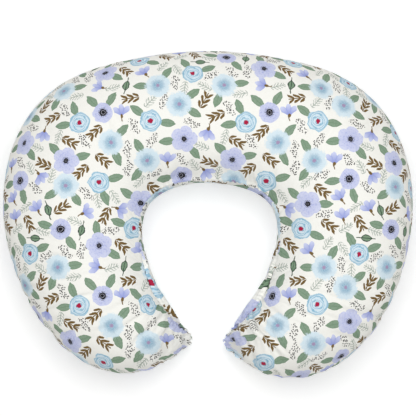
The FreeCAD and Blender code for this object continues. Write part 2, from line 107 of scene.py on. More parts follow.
def half_outlines(arm, count=800):
    """Outer and inner edge of one half of the C, from the back to the tip, for the right side."""
    turn = np.linspace(0, BACK_ARC_HALF_ANGLE, 60)
    centre_y = HALF_DEPTH - BACK_ARC_RADIUS
    back = np.stack(
        [BACK_ARC_RADIUS * np.sin(turn), centre_y + BACK_ARC_RADIUS * np.cos(turn)], axis=1
    )
    heading = (math.cos(BACK_ARC_HALF_ANGLE), -math.sin(BACK_ARC_HALF_ANGLE))
    shoulder = cubic(back[-1], heading, arm["widest"], (0, -1), (0.058, 0.092))
    side = cubic(arm["widest"], (0, -1), arm["end"], (-1, 0), arm["side_pulls"])
    toe = cubic(arm["end"], (-1, 0), arm["tip"], (-0.55, 0.83), (0.030, 0.030))
    outer = np.concatenate([back, shoulder[1:], side[1:], toe[1:]])
    corner = cubic((0, HALF_DEPTH - BACK_TUBE), (1, 0), arm["hollow"], (0, -1), (0.058, 0.040))
    inside = cubic(arm["hollow"], (0, -1), arm["tip"], (-0.66, -0.75), (0.050, 0.040))
    inner = np.concatenate([corner, inside[1:]])
    return resample(outer, count), resample(inner, count)


def smooth(x, low, high):
    t = np.clip((x - low) / (high - low), 0, 1)
    return t * t * (3 - 2 * t)


class Tube:
    """Upright sections at equal steps from the left tip (first) round to the right tip (last)."""

    def __init__(self, columns, inset=0.0, blunt=0.004):
        outer_l, inner_l = half_outlines(ARMS[-1])
        outer_r, inner_r = half_outlines(ARMS[1])
        mirror = np.array([-1, 1])
        outer = np.concatenate([outer_l[::-1] * mirror, outer_r[1:]])
        inner = np.concatenate([inner_l[::-1] * mirror, inner_r[1:]])
        share = np.abs(np.linspace(-1, 1, len(outer)))
        middle = (outer + inner) / 2
        run = running(np.hypot(*np.diff(middle, axis=0).T))
        self.length = run[-1]
        self.along = np.linspace(blunt + inset, run[-1] - blunt - inset, columns)
        outer, inner = (points_at(self.along, run, line) for line in (outer, inner))
        self.share = np.interp(self.along, run, share)
        self.middle = (outer + inner) / 2
        width = np.hypot(*(outer - inner).T)
        self.outward = (outer - inner) / width[:, None]
        thin = np.clip(1 - width / BACK_TUBE, 0, 1)
        full_height = HALF_HEIGHT * (1 - thin**TIP_ROUNDING)
        self.centre_z = full_height - FLOOR_SINK + TIP_LIFT * (1 - full_height / HALF_HEIGHT)
        self.half_width = width / 2 - inset
        self.half_height = full_height - inset
        self.floor = inset
        along_arm = smooth(self.share, 0.23, 0.65)
        self.outer_rise = OUTER_SEAM_AT_BACK + OUTER_SEAM_CLIMB * along_arm
        self.inner_rise = INNER_SEAM_AT_BACK - INNER_SEAM_FALL * smooth(self.share, 0.7, 1)

    def panels(self, rows_top, rows_under):
        """The upper and the under panel as grids of points, seam to seam, each with every point's
        distance over the cloth from the panel's middle line, outwards positive."""
        t = np.linspace(0, 1, 65)[:-1]
        reach = (1 - t) ** 3 + 3 * (1 - t) ** 2 * t + 3 * (1 - t) * t**2 * SECTION_FULLNESS
        rise = t**3 + 3 * (1 - t) * t**2 + 3 * (1 - t) ** 2 * t * SECTION_FULLNESS
        # From the middle of the underside out, up, over the top, in and down again.
        x = np.concatenate([rise, reach, -rise, -reach, [0.0]])
        z = np.concatenate([-reach, rise, reach, -rise, [-1.0]])
        outer_side, inner_side = slice(0, 2 * len(t)), slice(2 * len(t), None)
        upper = np.zeros((len(self.along), rows_top + 1, 3))
        under = np.zeros((len(self.along), rows_under + 1, 3))
        upper_out, under_out = np.zeros(upper.shape[:2]), np.zeros(under.shape[:2])
        for i in range(len(self.along)):
            px, pz = x * self.half_width[i], z * self.half_height[i]
            run = running(np.hypot(np.diff(px), np.diff(pz)))
            outer_seam = np.interp(self.outer_rise[i], z[outer_side], run[outer_side])
            inner_seam = np.interp(-self.inner_rise[i], -z[inner_side], run[inner_side])
            over = outer_seam + (inner_seam - outer_seam) * seam_spacing(rows_top)
            below = inner_seam + (run[-1] + outer_seam - inner_seam) * seam_spacing(rows_under)
            upper_out[i] = run[2 * len(t)] - over
            under_out[i] = below - run[-1]
            for grid, at in ((upper, over), (under, np.mod(below, run[-1]))):
                across = np.interp(at, run, px)
                grid[i, :, :2] = self.middle[i] + self.outward[i] * across[:, None]
                grid[i, :, 2] = press_flat(self.centre_z[i] + np.interp(at, run, pz), self.floor)
        return upper, upper_out, under, under_out

    def flat_place(self, out):
        """Where cloth lies before sewing, in mm. It is eased in a little round the hollow."""
        eased = np.where(out < 0, out * (1 - 0.12 * (out / 0.110) ** 2), out)
        return (self.middle[:, None] + self.outward[:, None] * eased[..., None]) / MM


def seam_spacing(rows):
    """Shares from 0 to 1, closer together near both seams."""
    t = np.arange(rows + 1) / rows
    return t - 0.09 * np.sin(2 * math.pi * t)


def press_flat(z, floor, edge=0.0015):
    """Nothing below the floor, with a soft bend where the cloth leaves it."""
    above = z - floor
    return floor + (above + np.sqrt(above**2 + edge**2)) / 2


def normals_of(grid, closed=False):
    """Outward directions on a grid, which may be closed round the tube."""
    along = np.gradient(grid, axis=0)
    if closed:
        around = np.roll(grid, -1, axis=1) - np.roll(grid, 1, axis=1)
    else:
        around = np.gradient(grid, axis=1)
    n = np.cross(around, along)
    return n / np.maximum(np.linalg.norm(n, axis=2, keepdims=True), 1e-12)


def ring_faces(columns, rows):
    """Faces between rings of points that lie one after another."""
    faces = []
    for i in range(columns - 1):
        for j in range(rows):
            k = (j + 1) % rows
            faces.append((i * rows + j, i * rows + k, (i + 1) * rows + k, (i + 1) * rows + j))
    return faces


def mesh_object(name, points, faces, soft=True):
    """A mesh from points and faces, shaded smooth if it is soft."""
    mesh = bpy.data.meshes.new(name)
    mesh.from_pydata([tuple(p) for p in points], [], faces)
    mesh.validate()
    obj = bpy.data.objects.new(name, mesh)
    bpy.context.scene.collection.objects.link(obj)
    for polygon in mesh.polygons:
        polygon.use_smooth = soft
    return obj


def sheet(grid):
    """Points and faces of an open sheet from a grid of points."""
    columns, rows = grid.shape[:2]
    corner = [i * rows + j for i in range(columns - 1) for j in range(rows - 1)]
    return grid.reshape(-1, 3), [(c, c + 1, c + rows + 1, c + rows) for c in corner]


def panel_object(name, grid, uv):
    """A cloth panel from a grid of points and each point's place on the flat cloth."""
    obj = mesh_object(name, *sheet(grid))
    layer = obj.data.uv_layers.new(name="cloth_mm")
    flat = uv.reshape(-1, 2)
    index = np.zeros(len(obj.data.loops), dtype=int)
    obj.data.loops.foreach_get("vertex_index", index)
    layer.data.foreach_set("uv", flat[index].ravel())
    return obj


def blur(values, along, around):
    """Gaussian blur of a grid: open along the tube, closed round it."""
    for axis, width in ((0, along), (1, around)):
        if width <= 0:
            continue
        reach = int(3 * width)
        kernel = np.exp(-0.5 * (np.arange(-reach, reach + 1) / width) ** 2)
        kernel /= kernel.sum()
        pad = [(0, 0)] * values.ndim
        pad[axis] = (reach, reach)
        padded = np.pad(values, pad, mode="edge" if axis == 0 else "wrap")
        out = np.zeros_like(values)
        for k, weight in enumerate(kernel):
            part = [slice(None)] * values.ndim
            part[axis] = slice(k, k + values.shape[axis])
            out += weight * padded[tuple(part)]
        values = out
    return values


def waves(u, v, seed, count=9, low=1.0, high=2.2):
    """Smooth random hills, about -1 to 1, over coordinates that run about one unit per hill."""
    rng = np.random.default_rng(seed)
    total = np.zeros(np.broadcast(u, v).shape)
    for _ in range(count):
        size = rng.uniform(low, high)
        way = rng.uniform(0, 2 * math.pi)
        phase = rng.uniform(0, 2 * math.pi)
        total += np.sin(2 * math.pi * (u * math.cos(way) + v * math.sin(way)) / size + phase)
    return total / math.sqrt(count)


def srgb(code):
    """A hex colour as the linear colour that a shader takes."""
    parts = [int(code[k : k + 2], 16) / 255 for k in (1, 3, 5)]
    linear = [p / 12.92 if p <= 0.04045 else ((p + 0.055) / 1.055) ** 2.4 for p in parts]
    return (*linear, 1.0)


class Signal:
    """The output of a shader node, which can be worked on with + - * and / like a number."""

    def __init__(self, shader, socket):
        self.shader, self.socket = shader, socket

    def __abs__(self):
        return self.shader.calc("ABSOLUTE", self)


def work_on_signals(sign, operation):
    """Lets signals be worked on with an arithmetic sign, with the signal on either side of it."""
    setattr(Signal, f"__{sign}__", lambda a, b: a.shader.calc(operation, a, b))
    setattr(Signal, f"__r{sign}__", lambda a, b: a.shader.calc(operation, b, a))


for sign in (("add", "ADD"), ("sub", "SUBTRACT"), ("mul", "MULTIPLY"), ("truediv", "DIVIDE")):
    work_on_signals(*sign)


class Shader:
    """A new material and the means to add nodes to it."""

    def __init__(self, name):
        self.material = bpy.data.materials.new(name)
        self.material.use_nodes = True
        self.tree = self.material.node_tree
        self.surface = self.tree.nodes["Principled BSDF"]

    def add(self, kind, *inputs, **settings):
        """Adds a node, gives its inputs values or links, and returns its first output."""
        node = self.tree.nodes.new(kind)
        for key, value in settings.items():
            setattr(node, key, value)
        free = [s for s in node.inputs if s.enabled]
        for socket, value in zip(free, inputs):
            self.connect(value, socket)
        return Signal(self, next(s for s in node.outputs if s.enabled))

    def connect(self, value, socket):
        """Links a signal to a socket, or sets the socket to a number, a place or a hex colour."""
        if isinstance(value, Signal):
            self.tree.links.new(value.socket, socket)
        else:
            socket.default_value = srgb(value) if isinstance(value, str) else value

    def calc(self, operation, *values):
        return self.add("ShaderNodeMath", *values, operation=operation)

    def vector(self, operation, *values):
        return self.add("ShaderNodeVectorMath", *values, operation=operation)

    def mix(self, share, low, high, kind="RGBA"):
        return self.add("ShaderNodeMix", share, low, high, data_type=kind, clamp_factor=True)

    def wave(self, value):
        """A sine wave over the value, from 0 to 1."""
        return self.calc("SINE", value) * 0.5 + 0.5

    def parts(self, vector):
        """The x, y and z of a vector."""
        node = self.add("ShaderNodeSeparateXYZ", vector).socket.node
        return [Signal(self, socket) for socket in node.outputs]

    def join(self, x, y):
        return self.add("ShaderNodeCombineXYZ", x, y)

    def noise(self, place, per_mm, detail=2.0, flat=True):
        """Smooth random values from 0 to 1, per_mm hills to the millimetre."""
        node = self.tree.nodes.new("ShaderNodeTexNoise")
        node.noise_dimensions = "2D" if flat else "3D"
        node.inputs["Scale"].default_value = per_mm
        node.inputs["Detail"].default_value = detail
        self.connect(place, node.inputs["Vector"])
        return Signal(self, node.outputs[0])

    def fill(self, edge, soft=0.3):
        """1 where edge, a distance in mm, is positive, falling to 0 over soft mm outside it."""
        return self.add("ShaderNodeMath", edge / soft, 1.0, operation="ADD", use_clamp=True)

    def bump(self, height, distance, strength=1.0):
        """Relief: height, 0 to 1, times a distance in metres."""
        node = self.tree.nodes.new("ShaderNodeBump")
        node.inputs["Distance"].default_value = distance
        node.inputs["Strength"].default_value = strength
        self.connect(height, node.inputs["Height"])
        self.tree.links.new(node.outputs["Normal"], self.surface.inputs["Normal"])

    def finish(self, colour, roughness, **constants):
        self.connect(colour, self.surface.inputs["Base Color"])
        self.connect(roughness, self.surface.inputs["Roughness"])
        for key, value in constants.items():
            self.surface.inputs[key.replace("_", " ")].default_value = value
        return self.material


def cloth_place(shader):
    """Where a point lies on the flat cloth, in mm."""
    node = shader.tree.nodes.new("ShaderNodeUVMap")
    node.uv_map = "cloth_mm"
    return Signal(shader, node.outputs[0])


def object_place(shader):
    """Where a point lies in space, in mm."""
    node = shader.tree.nodes.new("ShaderNodeTexCoord")
    return shader.vector("SCALE", Signal(shader, node.outputs["Object"]), 1000.0)


def plain_weave(shader, place, threads_per_mm):
    """Height of crossing threads, 0 to 1, on flat cloth."""
    x, y, _ = shader.parts(place)
    warp = shader.calc("SINE", x * (2 * math.pi * threads_per_mm))
    weft = shader.calc("SINE", y * (2 * math.pi * threads_per_mm))
    return warp * weft * 0.5 + 0.5


def closed_ring(upper, under):
    return np.concatenate([upper[:, :-1], under[:, :-1]], axis=1)


def closed_tube(name, ring):
    """One closed skin round a whole tube, with a point at each tip."""
    columns, rows = ring.shape[:2]
    faces = ring_faces(columns, rows)
    points = np.concatenate([ring.reshape(-1, 3), [ring[0].mean(axis=0), ring[-1].mean(axis=0)]])
    first, last, base = columns * rows, columns * rows + 1, (columns - 1) * rows
    for j in range(rows):
        k = (j + 1) % rows
        faces.append((first, k, j))
        faces.append((last, base + j, base + k))
    return mesh_object(name, points, faces)


STUFFING_INSET = 7.0 * MM
upper, _, under, _ = Tube(180, STUFFING_INSET).panels(32, 30)
tufts = closed_ring(upper, under)
hills = waves(np.arange(180)[:, None] / 7, np.arange(62)[None, :] / 6, seed=3)
tufts -= normals_of(tufts, closed=True) * (hills[..., None] + 1.6) * 0.6 * MM
tufts[..., 2] = np.maximum(tufts[..., 2], STUFFING_INSET)
stuffing = closed_tube("fibre_fill_tufts", tufts)

# Carded polyester fibre: white and matt, with fine crossing hairs.
shader = Shader("polyester fibre, carded")
place = object_place(shader)
hair = shader.noise(place, 1.1, detail=6.0, flat=False)
tuft = shader.noise(place, 0.07, flat=False)
shader.bump(hair + tuft, 0.8 * MM)
white = shader.mix(hair, "#E4E3DF", "#FBFBF9")
stuffing.data.materials.append(shader.finish(white, 0.95, Sheen_Weight=0.3))
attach(stuffing, "pillow")
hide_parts("fibre_fill")

# --- casing_top_panel and casing_bottom_panel ---
# Plain white cotton and polyester cloth in two panels, sewn right sides together and turned out.
# The stuffing keeps it round, with a few shallow creases that run in from its seam.
CASING_INSET = 5.5 * MM


def crease(along, distance, spacing, reach, seed):
    """Shallow folds square to a seam: how deep, 0 to 1, along it and at a distance from it."""
    rng = np.random.default_rng(seed)
    wobble = waves(along / spacing / 4, np.zeros_like(along), seed)
    phase = along / spacing * 2 * math.pi + 2.5 * wobble + rng.uniform(0, 6)
    return (0.5 + 0.5 * np.cos(phase)) * np.exp(-distance / reach)


def plain_cloth(name, low, high, threads_per_mm, relief):
    """A matt plain-woven cloth whose colour varies a little between its threads."""
    shader = Shader(name)
    weave = plain_weave(shader, cloth_place(shader), threads_per_mm)
    cloudy = shader.noise(cloth_place(shader), 0.05)
    colour = shader.mix(weave * 0.6 + cloudy * 0.4, low, high)
    shader.bump(weave, relief)
    return shader.finish(colour, 0.9, Sheen_Weight=0.15)


tube = Tube(220, CASING_INSET)
upper, upper_out, under, under_out = tube.panels(36, 34)
casing_cloth = plain_cloth("casing cotton, plain weave", "#E6E6E2", "#F6F6F3", 1.6, 0.08 * MM)
for name, grid, out, side in (
    ("casing_top_panel", upper, upper_out, 1),
    ("casing_bottom_panel", under, under_out, -1),
):
    edge = np.minimum(out.max(axis=1)[:, None] - out, out - out.min(axis=1)[:, None])
    along = tube.along[:, None] * np.ones_like(out)
    fold = crease(along, edge, 14 * MM, 12 * MM, seed=11 + side)
    facing = normals_of(grid)
    grid = grid - facing * (fold * 1.2 * MM)[..., None]
    grid[..., 2] = np.maximum(grid[..., 2], CASING_INSET)
    panel = panel_object(name + "_cloth", grid, tube.flat_place(out))
    panel.data.materials.append(casing_cloth)
    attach(panel, "pillow")
    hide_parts(name)

# --- cover_top_panel and cover_bottom_panel ---
# The slipcover: two panels of printed cotton, sewn right sides together and turned out, pulled over
# the casing. The seam is shorter than the cloth beside it, so the cloth puckers along the hollow
# and round the ends of the arms.
COVER_COLUMNS = 420
COVER_ROWS_TOP = 54
COVER_ROWS_UNDER = 50
COVER_ROWS = COVER_ROWS_TOP + COVER_ROWS_UNDER
tube = Tube(COVER_COLUMNS, blunt=2 * MM)
cover_upper, upper_out, cover_under, under_out = tube.panels(COVER_ROWS_TOP, COVER_ROWS_UNDER)
cover_ring = closed_ring(cover_upper, cover_under)
# How tightly each seam gathers the cloth: not along the zip at the back, fully at the arm ends.
outer_gather = 0.8 * smooth(tube.share, 0.45, 0.75)
inner_gather = 0.55 + 0.35 * smooth(tube.share, 0.05, 0.3)


FILLING_STEPS = 15


def gathered_cloth(ring):
    """The same ring of cloth after its seams have drawn in and the stuffing has filled it out."""
    columns, rows = ring.shape[:2]
    cloth = closed_tube("cover_being_filled", ring)
    seams = cloth.vertex_groups.new(name="seams")
    for seam, gather in ((0, outer_gather), (COVER_ROWS_TOP, inner_gather)):
        for beside, part in ((0, 1.0), (1, 0.5), (-1, 0.5)):
            row = (seam + beside) % rows
            for i in range(columns):
                seams.add([i * rows + row], float(gather[i] * part), "REPLACE")
    hold = cloth.vertex_groups.new(name="hold")
    hold.add(list(range(len(cloth.data.vertices))), 0.12, "REPLACE")
    ends = list(range(2 * rows)) + list(range((columns - 2) * rows, columns * rows + 2))
    hold.add(ends, 1.0, "REPLACE")
    filling = cloth.modifiers.new("filling", "CLOTH")
    settings = filling.settings
    settings.quality = 5
    settings.mass = 0.2
    settings.tension_stiffness = 30
    settings.compression_stiffness = 30
    settings.shear_stiffness = 8
    settings.bending_stiffness = 0.08
    settings.effector_weights.gravity = 0
    settings.use_pressure = True
    settings.uniform_pressure_force = 4
    settings.vertex_group_shrink = "seams"
    settings.shrink_min = 0
    settings.shrink_max = 0.14
    settings.vertex_group_mass = "hold"
    filling.point_cache.frame_start = 1
    filling.point_cache.frame_end = 20
    for step in range(1, FILLING_STEPS + 1):
        bpy.context.scene.frame_set(step)
    filled = cloth.evaluated_get(bpy.context.evaluated_depsgraph_get()).to_mesh()
    points = np.zeros(len(filled.vertices) * 3)
    filled.vertices.foreach_get("co", points)
    bpy.context.scene.frame_set(1)
    bpy.data.objects.remove(cloth)
    return points.reshape(-1, 3)[: columns * rows].reshape(ring.shape)


# Along the zip its tapes keep the cloth smooth.
zip_stretch = 1 - smooth(np.abs(tube.along - tube.length / 2), 0.127, 0.150)
from_seam = np.minimum(np.arange(COVER_ROWS), COVER_ROWS - np.arange(COVER_ROWS))[None, :]
not_at_zip = 1 - zip_stretch[:, None] * (1 - smooth(from_seam, 7, 13))
# Only the folds are kept from the filling: the overall shape stays that of the pillow.
moved = gathered_cloth(cover_ring) - cover_ring
folds = moved - blur(moved, 7, 5)
facing = normals_of(cover_ring, closed=True)
height = (folds * facing).sum(axis=2)
height = np.clip(height * 1.4, -2.2 * MM, 4.5 * MM)
slide = folds - facing * (folds * facing).sum(axis=2)[..., None]
slide = np.clip(slide * 1.2, -2.2 * MM, 2.2 * MM)
on_floor = smooth(cover_ring[..., 2], 3 * MM, 20 * MM) * not_at_zip
cover_ring = cover_ring + (facing * height[..., None] + slide) * on_floor[..., None]

row_place = np.arange(COVER_ROWS)[None, :]
hills = not_at_zip * waves(tube.along[:, None] / 0.085, row_place / 14, seed=8)
facing = normals_of(cover_ring, closed=True)
hills = hills * 0.7 * MM * smooth(cover_ring[..., 2], 0.003, 0.03)
cover_ring = cover_ring + facing * hills[..., None]


GROOVE_WIDTH = 2.1 * MM


def draw_in(grid, out, seed):
    """Draws the cloth in along both of a panel's seams and lays fine puckers across them."""
    from_outer = out.max(axis=1)[:, None] - out
    from_inner = out - out.min(axis=1)[:, None]
    along = tube.along[:, None] * np.ones_like(out)
    outer_groove = np.exp(-((from_outer / GROOVE_WIDTH) ** 2)) * (1 - zip_stretch[:, None])
    groove = (outer_groove + np.exp(-((from_inner / GROOVE_WIDTH) ** 2))) * 2.6 * MM
    pucker = outer_gather[:, None] * crease(along, from_outer, 10.5 * MM, 7 * MM, seed)
    pucker = pucker + inner_gather[:, None] * crease(along, from_inner, 9.5 * MM, 6 * MM, seed + 1)
    # The ends of the arms stay full and are pinched into a few pleats.
    from_tip = np.minimum(tube.along, tube.length - tube.along)[:, None]
    drawn = (groove + pucker * 2.3 * MM) * (0.25 + 0.75 * smooth(from_tip, 5 * MM, 35 * MM))
    pleats = 0.5 + 0.5 * np.cos(out / (5.5 * MM) * math.pi + seed)
    drawn = drawn + pleats * np.exp(-((from_tip / (15 * MM)) ** 2)) * 2.2 * MM
    return grid - normals_of(grid) * drawn[..., None]


looped = np.concatenate([cover_ring, cover_ring[:, :1]], axis=1)
cover_upper = draw_in(looped[:, : COVER_ROWS_TOP + 1], upper_out, seed=31)
cover_under = draw_in(looped[:, COVER_ROWS_TOP:], under_out, seed=37)

# The zip's slot: along the back the two panels stop short of each other.
SLOT_HALF = 4.6 * MM
ZIP_CENTRE = np.array([0.0, HALF_DEPTH - BACK_ARC_RADIUS])
SLOT_ANGLE = math.radians(18.95)


def run_of(line):
    """How far along a line of points in space each of them lies."""
    return running(np.linalg.norm(np.diff(line, axis=0), axis=1))


def open_slot(grid, flat, from_end):
    """Moves a panel's outer edge back from the seam along the zip."""
    edge = grid[:, -1 if from_end else 0]
    angle = np.arctan2(edge[:, 0], edge[:, 1] - ZIP_CENTRE[1])
    for i in np.nonzero((np.abs(angle) < SLOT_ANGLE + 0.02) & (edge[:, 1] > 0.1))[0]:
        line, place = grid[i], flat[i]
        if from_end:
            line, place = line[::-1], place[::-1]
        run = run_of(line)
        shut = smooth(abs(angle[i]), SLOT_ANGLE - 0.004, SLOT_ANGLE + 0.004)
        start = SLOT_HALF * (1 - shut)
        at = start + (run[-1] - start) * run / run[-1]
        line, place = points_at(at, run, line), points_at(at, run, place)
        grid[i], flat[i] = (line[::-1], place[::-1]) if from_end else (line, place)
    return grid, flat


def turned_in(grid, flat):
    """Adds the allowance that is folded back inside along both seams."""
    facing = normals_of(grid)
    for first in (True, False):
        edge, beside = (0, 1) if first else (-1, -2)
        back = grid[:, beside] - grid[:, edge]
        back /= np.maximum(np.linalg.norm(back, axis=1, keepdims=True), 1e-9)
        fold = grid[:, edge] - facing[:, edge] * 0.5 * MM
        inside = fold + back * 5 * MM - facing[:, edge] * 0.3 * MM
        rows = [inside[:, None], fold[:, None]]
        places = [flat[:, edge][:, None]] * 2
        if first:
            grid = np.concatenate(rows + [grid], axis=1)
            flat = np.concatenate(places + [flat], axis=1)
        else:
            grid = np.concatenate([grid] + rows[::-1], axis=1)
            flat = np.concatenate([flat] + places, axis=1)
    return grid, flat


upper_flat = tube.flat_place(upper_out)
under_flat = tube.flat_place(under_out) * np.array([-1, 1]) + np.array([83.0, 57.0])
cover_upper, upper_flat = open_slot(cover_upper, upper_flat, from_end=False)
cover_under, under_flat = open_slot(cover_under, under_flat, from_end=True)

# The print repeats every 200 by 220 mm. The flowers have set places; leaves and small sprays go
# where there is most room between them. Each place is x, y and a turn.
REPEAT = np.array([200.0, 220.0])
BLUE_FLOWERS = [(30, 36), (20, 158), (84, 88), (128, 66), (166, 134), (140, 158)]
PETALLED_ANEMONES = [(30, 66), (70, 184), (120, 14), (172, 92)]
ROUND_ANEMONES = [(24, 204), (74, 124), (170, 44)]
ROSES = [(46, 112), (70, 40), (132, 114), (112, 204), (182, 174)]


class Layout:
    """Keeps account of which parts of the repeat are taken, as a set of discs."""

    def __init__(self, seed):
        self.rng = np.random.default_rng(seed)
        self.discs = np.zeros((0, 3))

    def discs_of(self, spot, half_length, half_width):
        x, y, turn = spot
        steps = np.array([-1, 0, 1]) * max(half_length - half_width, 0)
        across, up = x + steps * math.cos(turn), y + steps * math.sin(turn)
        return np.stack([across, up, half_width * np.ones(3)], axis=1)

    def room(self, discs, others):
        gap = discs[:, None, :2] - others[None, :, :2]
        gap -= REPEAT * np.round(gap / REPEAT)
        return (np.hypot(gap[..., 0], gap[..., 1]) - discs[:, None, 2] - others[None, :, 2]).min()

    def place_best(self, spots, half_length, half_width, ignoring=None):
        others = self.discs if ignoring is None else np.delete(self.discs, ignoring, axis=0)
        sizes = half_length, half_width
        best = max(spots, key=lambda spot: self.room(self.discs_of(spot, *sizes), others))
        self.discs = np.concatenate([self.discs, self.discs_of(best, *sizes)])
        return best

    def scatter(self, count, half_length, half_width):
        spots = []
        for _ in range(count):
            tries = self.rng.random((350, 3)) * [REPEAT[0], REPEAT[1], 2 * math.pi]
            spots.append(self.place_best([tuple(t) for t in tries], half_length, half_width))
        return spots


FLOWER_RADIUS = 12.5
FLOWER_TURN = 1.7
LEAF_DISTANCE = 20
layout = Layout(seed=21)
flowers = BLUE_FLOWERS + PETALLED_ANEMONES + ROUND_ANEMONES + ROSES
layout.discs = np.array([(x, y, FLOWER_RADIUS) for x, y in flowers])
leaves = []
for i, (x, y) in enumerate(flowers * 2):
    turns = np.arange(48) * math.pi / 24
    around = [
        (x + LEAF_DISTANCE * math.cos(t), y + LEAF_DISTANCE * math.sin(t), t) for t in turns
    ]
    leaves.append(layout.place_best(around, 9, 4.4, ignoring=i % len(flowers)))
bells = layout.scatter(11, 9, 6)
sprigs = layout.scatter(14, 10, 5)
dark_leaves = layout.scatter(4, 9, 4)
dot_sprays = layout.scatter(18, 10, 5)
wisps = layout.scatter(18, 9, 5)


class Motif:
    """The nearest of some places on the repeat, seen from that place and turned with it."""

    def __init__(self, shader, place, spots):
        nearest, least = None, None
        half = (REPEAT[0] / 2, REPEAT[1] / 2, 1.0)
        for i, spot in enumerate(spots):
            turn = spot[2] if len(spot) > 2 else (i * FLOWER_TURN) % 6.28
            away = shader.vector("SUBTRACT", place, (spot[0], spot[1], -turn * 0.001))
            away = shader.vector("WRAP", away, half, tuple(-h for h in half))
            length = shader.vector("LENGTH", away)
            if nearest is None:
                nearest, least = away, length
            else:
                nearer = shader.calc("LESS_THAN", length, least)
                nearest = shader.mix(nearer, nearest, away, "VECTOR")
                least = shader.calc("MINIMUM", length, least)
        turn = shader.parts(nearest)[2] * -1000.0
        turned = shader.add(
            "ShaderNodeVectorRotate", nearest, (0, 0, 0), turn, rotation_type="Z_AXIS"
        )
        self.x, self.y, _ = shader.parts(turned)
        self.r = least
        self.shader = shader

    def angle(self):
        return self.shader.calc("ARCTAN2", self.y, self.x)


shader = Shader("printed cotton, reactive print")
fill, mix, calc = shader.fill, shader.mix, shader.calc
flat = cloth_place(shader)
wander = shader.noise(flat, 0.16, detail=2.0)
blot = shader.noise(shader.vector("ADD", flat, (31.0, 17.0, 0.0)), 0.45, detail=3.0)
grain = shader.noise(flat, 1.3, detail=2.0)
hand = shader.vector("ADD", flat, shader.join((wander - 0.5) * 3.2, (blot - 0.5) * 0.7))


def band(value, half_width, soft=0.3):
    """1 where value is within half_width of nought."""
    return fill(half_width - abs(value), soft)


def power(value, exponent):
    return calc("POWER", value, exponent)


def either(first, second):
    return calc("MAXIMUM", first, second)


def lay(below, cover, colour, strength=1.0):
    """Prints a colour over what is below, where cover is 1."""
    return mix(cover * strength if strength != 1.0 else cover, below, colour)


ink = mix(blot, "#F6F5EE", "#FCFCF8")

# Pale grey-green wisps: a stem with fine side twigs.
m = Motif(shader, hand, wisps)
side = abs(m.y)
twig = calc("PINGPONG", m.x - side * 0.9 + 40.0, 1.9)
inside = fill(5.2 - side - abs(m.x) * 0.32, 0.6)
inside = inside * band(m.x, 9.0)
wisp = either(band(m.y, 0.28), fill(0.30 - twig, 0.3)) * inside
buds = fill(blot - 0.60, 0.05) * inside
ink = lay(ink, either(wisp * 0.9, buds * 0.4), "#98A69B")

# Sprays of tiny black dots.
m = Motif(shader, hand, dot_sprays)
dots = shader.tree.nodes.new("ShaderNodeTexVoronoi")
dots.voronoi_dimensions = "2D"
dots.inputs["Scale"].default_value = 1 / 2.5
dots.inputs["Randomness"].default_value = 0.75
shader.connect(flat, dots.inputs["Vector"])
bent = m.y + calc("SINE", m.x * 0.5) * 1.2
patch = 1.0 - power(abs(m.x) / 10.5, 2.0) - power(abs(bent) / 4.6, 2.0)
dot = fill(0.285 - Signal(shader, dots.outputs["Distance"]), 0.08)
ink = lay(ink, dot * fill(patch, 0.15), "#1E1E20", 0.92)


def leaf(m, half_length, half_width):
    """How far inside a leaf's edge a point is, in mm, with its tip at either end."""
    taper = 1.0 - power(abs(m.x) / half_length, 2.2)
    return taper * half_width - abs(m.y)


# Sage leaves beside the flowers, with a darker rib and faint side veins.
m = Motif(shader, hand, leaves)
edge = leaf(m, 10.6, 4.7)
sage = mix(blot, "#76917A", "#9AB099")
vein = shader.wave((m.x - abs(m.y) * 0.8) * 2.6)
sage = lay(sage, vein * 0.22, "#74907A")
rib = either(band(m.y, 0.28), fill(0.55 - edge, 0.5))
sage = lay(sage, rib, "#6A8A6D", 0.55)
stalk = band(m.y, 0.35) * fill(0.0 - m.x - 8.0, 0.5) * band(m.x, 16.0)
ink = lay(ink, stalk, "#9A9A88")
ink = lay(ink, fill(edge), sage)

# A few darker leaves with a drawn outline and a stem.
m = Motif(shader, hand, dark_leaves)
edge = leaf(m, 7.2, 4.3)
green = mix(blot, "#6F8E72", "#8CA58B")
drawn = either(band(m.y, 0.3), fill(0.8 - edge, 0.4))
green = lay(green, drawn, "#33473A")
stem = band(m.y, 0.4) * band(m.x, 12.0)
ink = lay(ink, stem, "#4D5B4A")
ink = lay(ink, fill(edge), green)

# Brown sprigs: slanting leaflets in pairs along a stem.
m = Motif(shader, hand, sprigs)
side = abs(m.y)
step = calc("PINGPONG", m.x - side * 1.25 + 68.4, 3.6)
plump = 1.0 - power(abs(side - 3.0) / 3.1, 2.0)
whole = fill(9.5 - abs(m.x - side * 0.5 + 1.0), 0.3)
leaflet = fill(plump * 2.6 - step, 0.35) * whole
sprig = either(leaflet, band(m.y, 0.5) * band(m.x - 1.0, 9.5))
brown = mix(blot, "#654F29", "#84693A")
ink = lay(ink, sprig, brown)

# Periwinkle bell flowers: three petals fanned from a brown cup on a short stem.
m = Motif(shader, hand, bells)
fan_x = m.x + 4.5
turn = calc("ARCTAN2", m.y, fan_x)
reach = calc("SQRT", m.y * m.y + fan_x * fan_x)
lobes = abs(calc("COSINE", turn * 4.7))
petals = fill(10.0 + lobes * 4.5 - reach, 0.4) * band(turn, 1.0, 0.06)
lilac = mix(reach / 14.0, "#8794DA", "#D3D9F6")
lilac = lay(lilac, (1.0 - lobes) * (1.0 - lobes), "#94A1DF", 0.75)
cup = fill(2.3 - calc("SQRT", (m.x + 4.4) * (m.x + 4.4) + m.y * m.y * 2.0), 0.4)
stem = band(m.y + calc("SINE", m.x * 0.4) * 0.8, 0.5) * band(m.x + 7.0, 3.8)
ink = lay(ink, petals, lilac)
ink = lay(ink, either(cup, stem), "#7A6238")

